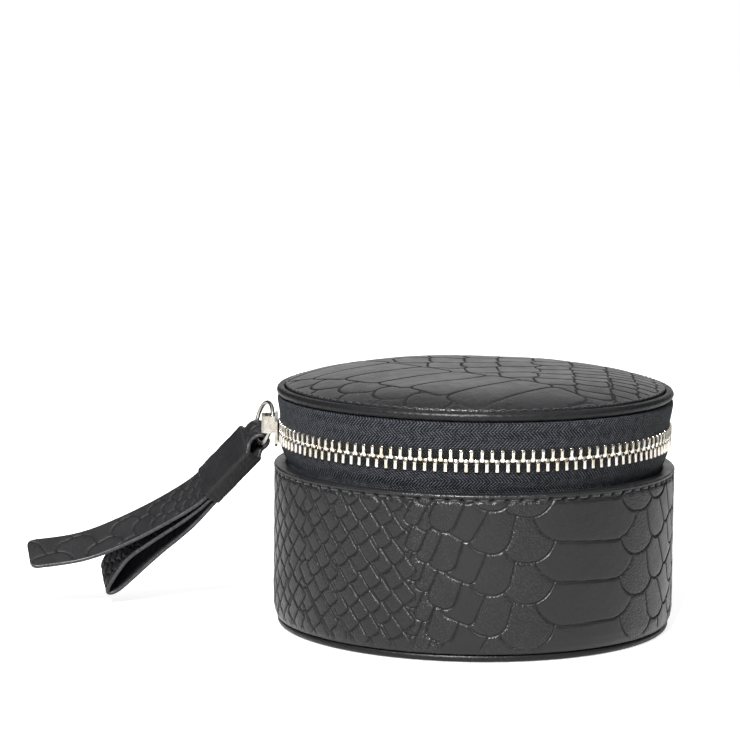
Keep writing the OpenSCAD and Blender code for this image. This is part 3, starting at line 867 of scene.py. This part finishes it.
def hinge_strip():
    """One flexible strip of leather from inside the rim up to the lid."""
    out_r, in_r = WALL_R - 0.4, WALL_R - 1.55
    outer = [(46.78, TURN_END_Z), (46.78, RIM_Z), (47.1, RIM_Z + 0.8), (48.9, ZIP_Z - 5.2),
             (out_r, ZIP_Z - 3.1), (out_r, ZIP_Z + 7.2), (out_r - 0.3, ZIP_Z + 8.6),
             (out_r - 1.1, LID_BASE_Z - 0.05)]
    inner = [(47.65, LID_BASE_Z - 0.05), (47.65, LID_BASE_Z - 1.2), (in_r, ZIP_Z + 6.9),
             (in_r, ZIP_Z - 2.9), (in_r - 0.5, ZIP_Z - 4.6), (46.2, RIM_Z + 1.3), (46.2, TURN_END_Z)]
    profile = np.concatenate([resample(fillet(outer, [0, 0.2, 1, 1.5, 1.2, 1.2, 0.8, 0], 4), 0.5),
                              resample(inner, 1.0)])

    def creases(a, r, z):
        swell = 0.07 * value_noise(a / 2.2, z / 1.1, 81) + 0.05 * value_noise(a / 0.8, z / 0.8, 82)
        keep = (z > RIM_Z + 0.6) * (z < LID_BASE_Z - 1)
        return swell * keep, 0

    half = HINGE_HALF + 0.4
    obj = swept_arc("hinge_strip", profile, HINGE_MID - half, HINGE_MID + half, 0.35, plain,
                    wrinkle=creases, slot="plain_leather",
                    replaces=["hinge_panel_lower", "hinge_panel_upper"])
    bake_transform(obj)


# ---------------- inside


def applied(obj):
    """The object's mesh with its modifiers applied; the object is left without them."""
    dg = bpy.context.evaluated_depsgraph_get()
    mesh = bpy.data.meshes.new_from_object(obj.evaluated_get(dg), depsgraph=dg)
    obj.modifiers.clear()
    return mesh


def coordinates(mesh):
    values = np.empty(len(mesh.vertices) * 3, np.float32)
    mesh.vertices.foreach_get("co", values)
    return values.reshape(-1, 3)


def puff_up(obj):
    """Fills a padded piece by cloth simulation: the mesh is remeshed, blown up softly and smoothed."""
    voxel, pressure, furthest, frames = 1.6, 4.0, 0.5, 20
    material = obj.data.materials[0]
    bpy.context.view_layer.objects.active = obj
    even = obj.modifiers.new("remesh", "REMESH")
    even.mode = "VOXEL"
    even.voxel_size = voxel * MM
    obj.data = applied(obj)
    before = coordinates(obj.data)
    cloth = obj.modifiers.new("cloth", "CLOTH")
    cloth.settings.quality = 5
    cloth.settings.use_pressure = True
    cloth.settings.uniform_pressure_force = pressure
    cloth.settings.effector_weights.gravity = 0
    cloth.point_cache.frame_start = 1
    cloth.point_cache.frame_end = frames
    scene = bpy.context.scene
    for f in range(1, frames + 1):
        scene.frame_set(f)
    blown = applied(obj)
    move = coordinates(blown) - before
    length = np.linalg.norm(move, axis=1)[:, None]
    move *= np.minimum(1, furthest * MM / np.maximum(length, 1e-9))
    blown.vertices.foreach_set("co", (before + move).ravel())
    obj.data = blown
    obj.data.materials.clear()
    obj.data.materials.append(material)
    scene.frame_set(1)
    smoother = obj.modifiers.new("round", "SUBSURF")
    smoother.levels = smoother.render_levels = 1
    obj.data = applied(obj)
    obj.data.polygons.foreach_set("use_smooth", np.ones(len(obj.data.polygons), bool))


def liner():
    """The suede lining: a rounded top edge and soft waves down the wall."""
    outline = [(LINER_R, FLOOR_Z), (LINER_R + 0.95, FLOOR_Z), (LINER_R + 0.95, LINER_TOP - 0.75),
               (TURN_R - 0.7, LINER_TOP - 0.75), (TURN_R - 0.7, LINER_TOP), (LINER_R, LINER_TOP)]
    profile = resample(fillet(outline, [0, 0, 0, 0, 0.7, 0.8], 5), 0.8, True)

    def waves(a, r, z):
        inner = smooth((LINER_R + 0.5 - r) / 0.5)
        swell = -0.10 * value_noise(a / 6.0, z / 9.0, 91, 60) * inner
        return swell, 0

    full_ring("liner", profile, 480, nap_cloth, wrinkle=waves, body="case", slot="suede",
              replaces=["base_liner_suede"])


def bar(name, node, material, crown, inset, seed, puffed=False):
    """A padded bar across the drum: a divider, or a ring roll that is puffed up.

    Its top is rounded over crown mm, and its ends follow the liner.
    """
    (_, low, z0), (_, high, z1) = node_box(node)
    seed += int(high)
    y0, y1, reach, top = low + inset, high - inset, PAD_R - inset, z1 - inset
    mid, half = (y0 + y1) / 2, (y1 - y0) / 2
    outline = [(mid + half, z0)]
    outline += [(mid + half * math.cos(t), top - crown + crown * math.sin(t))
                for t in np.linspace(0, math.pi, 19)]
    y, z = resample(outline + [(mid - half, z0)], 1.2, True).T
    length = np.sqrt(np.maximum(reach ** 2 - y ** 2, 1))
    rows = np.stack([np.stack([t * length, y, z], -1) for t in np.linspace(-1, 1, 91)])
    rows[..., 1] += 0.08 * value_noise(rows[..., 0] / 7.0, rows[..., 2] / 7.0, seed)
    lumps = value_noise(rows[..., 0] / 9.0, rows[..., 1] / 5.0, seed + 1)
    rows[..., 2] += 0.15 * lumps * smooth((rows[..., 2] - z1 + 6) / 6)
    obj = make(name, rows.reshape(-1, 3), tube_faces(*rows.shape[:2]), material, "case", "suede", [node])
    if puffed:
        puff_up(obj)


def cushion(name, radius, up, body, node):
    """A round pad that is crowned on its open side, with a welt near its edge."""
    low, high = node_box(node)
    thick = high[2] - low[2]
    back, front = (low[2], high[2]) if up > 0 else (high[2], low[2])
    r = np.concatenate([np.linspace(0.5, radius - 6, 26), np.linspace(radius - 5, radius - 0.2, 14)])
    fall = ((r / radius) ** 8) * thick * 0.55
    welt = 0.35 * np.exp(-((r - (radius - 4.2)) / 0.5) ** 2)
    crown = np.stack([r, front - up * (fall + welt + 0.05)], -1)
    rim = [(radius, front - up * thick * 0.75), (radius, back + up * 0.1),
           (radius * 0.5, back + up * 0.05), (0.5, back + up * 0.05)]
    profile = np.concatenate([crown, np.array(rim)])
    count = 180

    def soft(a, rr, zz):
        lift = 0.16 * value_noise(rr * np.cos(np.radians(a)) / 9, rr * np.sin(np.radians(a)) / 9, 131)
        open_side = np.abs(zz - back) > thick * 0.3
        return 0, -up * np.abs(lift) * open_side

    points = turned(profile, np.arange(count) * 360 / count, soft)
    n = len(profile)
    faces = grid_faces(count, n, True, False).tolist()
    faces += [list(range(0, count * n, n)), list(range(n - 1, count * n, n))[::-1]]
    if up < 0:
        faces = [f[::-1] for f in faces]
    obj = make(name, points.reshape(-1, 3), faces, pad_cloth, body, "suede", [node])


def inside():
    """Liner, ring rolls, dividers and the two cushions."""
    liner()
    for place in ("front", "middle", "back"):
        bar("roll_" + place, "ring_roll_" + place, pad_cloth, 4.55, 0.25, 100, puffed=True)
    for place in ("front", "back"):
        bar("divider_" + place, place + "_divider", nap_cloth, 1.2, 0.05, 120)
    cushion("floor_cushion", PAD_R, 1, "case", "floor_pad")
    cushion("lid_cushion", LID_PAD_R, -1, "lid", "lid_pad")


# ---------------- strap


STRAP_AT = (-37.0, 42.7, 46.3)
STRAP_TURN = (-45.0, 45.5, 114.0)
STRAP_W, STRAP_T = 10.9, 1.0
STRAP_EDGE = 0.42
FOLD_W = 6.4


def place_strap(points):
    """Takes the strap's own x (ring to tip), y (width) and z (face normal) to the row frame, in mm."""
    ax, ay, az = (math.radians(v) for v in STRAP_TURN)
    turn = Matrix.Rotation(az, 4, "Z") @ Matrix.Rotation(ay, 4, "Y") @ Matrix.Rotation(ax, 4, "X")
    m = np.array(Matrix.Translation(STRAP_AT) @ turn)
    return points @ m[:3, :3].T + m[:3, 3]


def curve_through(points, step):
    """A smooth curve through points, sampled about every step mm."""
    points = np.array(points, float)
    padded = np.concatenate([[2 * points[0] - points[1]], points, [2 * points[-1] - points[-2]]])
    out = []
    for a, b, c, d in zip(padded, padded[1:], padded[2:], padded[3:]):
        n = max(2, int(np.linalg.norm(c - b) / step))
        for t in np.arange(n) / n:
            out.append(0.5 * (2 * b + (c - a) * t + (2 * a - 5 * b + 4 * c - d) * t ** 2
                              + (3 * b - a - 3 * c + d) * t ** 3))
    out.append(points[-1])
    return np.array(out)


def strap_line(step):
    """Middle line of the strap in its own x and z, from the tail's tip round the ring to the loop."""
    tail = [(61.6, 22.6), (52.8, 13.3), (43.0, 7.2), (33.8, 3.2), (24.0, -0.1), (18.0, -0.75),
            (9.0, -0.6), (2.0, -0.2)]
    fold = [(-0.6 + 2.12 * math.cos(a), -2.1 + 2.12 * math.sin(a))
            for a in np.radians([90, 135, 180, 225, 270])]
    lower = [(2.0, -3.9), (9.0, -3.3), (18.5, -3.6), (29, -3.8), (41, -2.45), (52.0, -1.8)]
    tip = [(56.4, -1.0), (57.7, 0.4), (55.8, 1.7)]
    upper = [(50.5, 2.85), (45.5, 3.3), (38.5, 1.8), (28.0, -0.9), (19.0, -2.15), (9.0, -2.1),
             (3.0, -2.1)]
    return curve_through(tail + fold + lower + tip + upper, step)


def strap_columns(length):
    """Big scales at the tail's tip and smaller ones towards the sleeve, across the strap's length."""
    columns, at, odd = [], -1.0, 0
    while at < length + 5:
        size = 3.0 + 5.5 * float(smooth((46 - at) / 34.0))
        columns.append((at, -4.0 + odd * size * 0.6, size * 1.25, size * 0.62, size * 0.72,
                        size * 0.42, -14.0, 0.3))
        at, odd = at + size * 0.82, 1 - odd
    return columns


def strap():
    """The folded pull: one strip with painted edges, embossed on its outer face."""
    line = strap_line(0.36)
    along = run_of(line)
    tangent = np.gradient(line, axis=0)
    tangent /= np.linalg.norm(tangent, axis=1)[:, None]
    # towards the strap's embossed face: the tail runs backwards, so this is its upper side
    normal = np.stack([tangent[:, 1], -tangent[:, 0]], -1)
    corner, fold_end, narrowest = 2.0, 2.6, 0.4
    half = np.full(len(line), STRAP_W / 2)
    near = along < corner
    half[near] -= corner - np.sqrt(np.maximum(corner ** 2 - (corner - along[near]) ** 2, 0))
    folded = smooth((fold_end - line[:, 0]) / 1.6)
    half = np.maximum(half * (1 - folded) + FOLD_W / 2 * folded, narrowest)
    across = np.linspace(-1, 1, 31)
    edge_turn = np.linspace(math.pi / 2, -math.pi / 2, 7)[1:-1]
    ring = [(v, 0.0, STRAP_T / 2) for v in across]
    ring += [(1.0, math.cos(t) * STRAP_EDGE, math.sin(t) * STRAP_T / 2) for t in edge_turn]
    ring += [(v, 0.0, -STRAP_T / 2) for v in across[::-1]]
    ring += [(-1.0, -math.cos(t) * STRAP_EDGE, math.sin(t) * STRAP_T / 2) for t in edge_turn[::-1]]
    n, ring = len(ring), np.array(ring)
    y = ring[None, :, 0] * (half[:, None] - STRAP_EDGE) + ring[None, :, 1]
    out = np.repeat(ring[None, :, 2], len(line), 0)
    length = along[:, None] + 0 * y
    scales = scale_columns(strap_columns(along[-1]), -10, 10, np.random.RandomState(43))
    edge, grain = scale_height(length, y, scales)
    height, mark = embossed_skin(edge, length, y, 44)
    outer = (np.arange(n) < len(across))[None] & (np.abs(y) < half[:, None] - STRAP_EDGE * 1.1)
    height, mark = np.where(outer, height * 0.8, 0), np.where(outer, mark, 1)
    out = out + height + 0.10 * value_noise(length / 9.0, y / 6.0, 45)
    x = line[:, None, 0] + normal[:, None, 0] * out
    z = line[:, None, 1] + normal[:, None, 1] * out
    points = place_strap(np.stack([x, y, z], -1).reshape(-1, 3))
    # the material of each face round the strip: outer face 0, inner face 1, painted edges 2
    strip, side = len(across) - 1, len(edge_turn) + 1
    slots = ([0] * strip + [2] * side + [1] * strip + [2] * side) * (len(line) - 1) + [2, 2]
    make("pull_tab", points, tube_faces(len(line), n, -1), [strap_skin, strap_back, edge_paint], "strap",
         "embossed_leather", ["pull_strap"], {"relief": mark.ravel(), "grain": grain.ravel()}, slots)


def sleeve():
    """The keeper round the strap's plies: a short closed band of leather."""
    x0, x1 = 2.1, 19.2
    low, high, half = -4.65, 0.45, 5.75
    wall, girth_step = 0.85, 0.45
    outline = fillet([(-half, low), (half, low), (half, high), (-half, high)], 1.15, 5)
    outline = resample(outline, girth_step, True)
    n = len(outline)
    centre = np.array([0, (low + high) / 2])
    rows = []

    def add_row(x, scale):
        rows.append(np.concatenate([np.full((n, 1), x), centre + (outline - centre) * scale], 1))

    for x in resample([(x0, 0), (x1, 0)], 0.4)[:, 0]:
        grow = 1 - 0.05 * (1 - min(1, min(x - x0, x1 - x) / 0.4)) ** 2
        wave = 0.06 * value_noise(np.full(n, x) / 3.0, outline[:, 0] / 3.0, 51)
        add_row(x, grow + wave[:, None] / 5)
    for x in (x1 - 0.1, x0 + 0.1):
        add_row(x, [1 - wall / half, 1 - wall / (high - low) * 2])
    rows = np.stack(rows)
    girth = np.repeat(np.arange(n)[None] * girth_step, rows.shape[0], 0)
    columns = [(2.9 * k - 1, 2.1 * (k % 2), 4.2, 1.9, 2.4, 0.8, 20.0, 0.3) for k in range(9)]
    scales = scale_columns(columns, -4, girth.max() + 4, np.random.RandomState(53))
    edge, grain = scale_height(rows[..., 0], girth, scales)
    height, mark = embossed_skin(edge, rows[..., 0], girth, 54)
    # the embossing and its painted line shade are nearly flattened here by wear, and there is none on the
    # inside
    height, mark = height * 0.3, 1 - (1 - mark) * 0.3
    height[-2:], mark[-2:] = 0, 1
    away = rows[..., 1:] - centre
    away /= np.linalg.norm(away, axis=-1)[..., None]
    rows[..., 1:] += away * height[..., None] * 0.6
    faces = grid_faces(rows.shape[0], n, True, True)[:, ::-1]
    points = place_strap(rows.reshape(-1, 3))
    make("pull_sleeve", points, faces, strap_skin, "strap", "embossed_leather",
         ["strap_sleeve"], {"relief": mark.ravel(), "grain": grain.ravel()})


# ---------------- scene


# the lengths of this section are in metres
FLOOR_HALF, FLOOR_DROP = 60.0, 0.0002
CASE_MIDDLE = Vector((0, 0, 0.03))
WHITE = (1.0, 1.0, 1.0)


def white_floor():
    """A plain white floor: it takes the case's shadow, and glows only as seen by the camera."""
    mesh = bpy.data.meshes.new("floor")
    corners = [(x * FLOOR_HALF, y * FLOOR_HALF, 0) for x, y in ((-1, -1), (1, -1), (1, 1), (-1, 1))]
    mesh.from_pydata(corners, [], [(0, 1, 2, 3)])
    s = Shader("floor_paper")
    tone = s.ramp(s.noise(3, 2), [(0.3, 0.62), (0.7, 0.64)])
    camera_glow = 0.78
    glow = s.times(s.add("LightPath").outputs["Is Camera Ray"], camera_glow)
    mesh.materials.append(s.finish(tone, 0.9, Specular_IOR_Level=0.1, Emission_Strength=glow,
                                   Emission_Color=WHITE))
    floor = put_in_scene("floor", mesh)
    floor.location.z = -FLOOR_DROP


def light(name, kind, place, power, **settings):
    """A lamp at a place, in metres, facing the case."""
    lamp = bpy.data.lights.new(name, kind)
    lamp.energy = power
    for key, value in settings.items():
        setattr(lamp, key, value)
    obj = put_in_scene(name, lamp)
    obj.location = place
    obj.rotation_euler = (CASE_MIDDLE - Vector(place)).to_track_quat("-Z", "Y").to_euler()


def studio_world():
    """White to look at. It lights the case only faintly, a little more from the horizon."""
    s = Shader("studio", "worlds", "Background")
    bpy.context.scene.world = s.owner
    height = s.add("SeparateXYZ", {0: s.add("TexCoord").outputs["Generated"]}).outputs["Z"]
    horizon, overhead = 0.03, 0.01
    faint = s.scaled(height, 0.0, 0.45, horizon, overhead)
    seen = s.add("LightPath").outputs["Is Camera Ray"]
    s.put(s.skin.inputs["Color"], WHITE)
    s.put(s.skin.inputs["Strength"], s.add("Mix", {0: seen, 2: faint, 3: 1.0}).outputs[0])


def camera():
    """A long lens from the left of the front, a little above the lid."""
    azimuth, distance, height = math.radians(-46), 0.75, 0.1593
    pan, tilt, roll, lens = 0.0350, -0.1275, 0.009, 147.4
    data = bpy.data.cameras.new("camera")
    data.lens = lens
    data.sensor_width = 36.0
    data.clip_start = 0.05
    obj = put_in_scene("camera", data)
    turn = (Matrix.Rotation(azimuth + pan, 4, "Z") @ Matrix.Rotation(math.pi / 2 + tilt, 4, "X")
            @ Matrix.Rotation(roll, 4, "Z"))
    place = Vector((math.sin(azimuth) * distance, -math.cos(azimuth) * distance, height))
    obj.matrix_world = Matrix.Translation(place) @ turn
    bpy.context.scene.camera = obj


bpy.context.scene.view_settings.view_transform = "Standard"
white_floor()
studio_world()
light("key_light", "AREA", (-0.82, -0.46, 0.94), 48.0, size=0.28)
light("back_light", "AREA", (0.86, 0.72, 0.34), 2.5, size=1.0)
light("soft_top", "SUN", (-0.25, -0.35, 1.0), 1.25, angle=math.radians(120))
camera()

base_wall()
thread_run("rim_stitches", ring_places(STITCH_COUNT, WALL_R - 0.12, STITCH_Z, 2.3), "case", 0.2)
piping("base_welt", BASE_PIPE_AT, BASE_PIPE_R, BASE_PIPE_R, 960, "case", "base_piping", 15, 0.03)
piping("lid_welt", LID_PIPE_AT, LID_PIPE_Z, LID_PIPE_R, 1200, "lid", "lid_piping", 17, 0.07)
zip_tapes()
teeth("zip_row_top", 0.0, False, "zip_teeth_upper", "lid")
teeth("zip_row_bottom", 0.5, True, "zip_teeth_lower", "case")
lid_panel()
# small stitches in the crease between the padded top and the piping
seam = ring_places(114, DOME_R - 0.05, dome_z(DOME_R) + 0.05, 1.7, (0, 0, 1))
thread_run("lid_seam_stitches", seam, "lid", 0.17)
hinge_strip()
inside()
strap()
sleeve()

for dressed, bevel, names in (
        (tooth_metal, 0.12, ("zip_stops_lower", "zip_stops_upper")),
        (nickel, 0.16, ("slider_body", "slider_cap")), (nickel, 0, ("pull_ring",)),
        (plain, 0.12, ("lid_collar",)), (plain, 0, ("base_bottom_leather",)),
        (board, 0, ("lid_board", "base_bottom_board", "base_wall_board", "base_liner_board")),
        (foam, 0, ("lid_foam",)), (cord_cotton, 0, ("base_piping_cord", "lid_piping_cord"))):
    for node_name in names:
        dress(node_name, dressed, bevel)
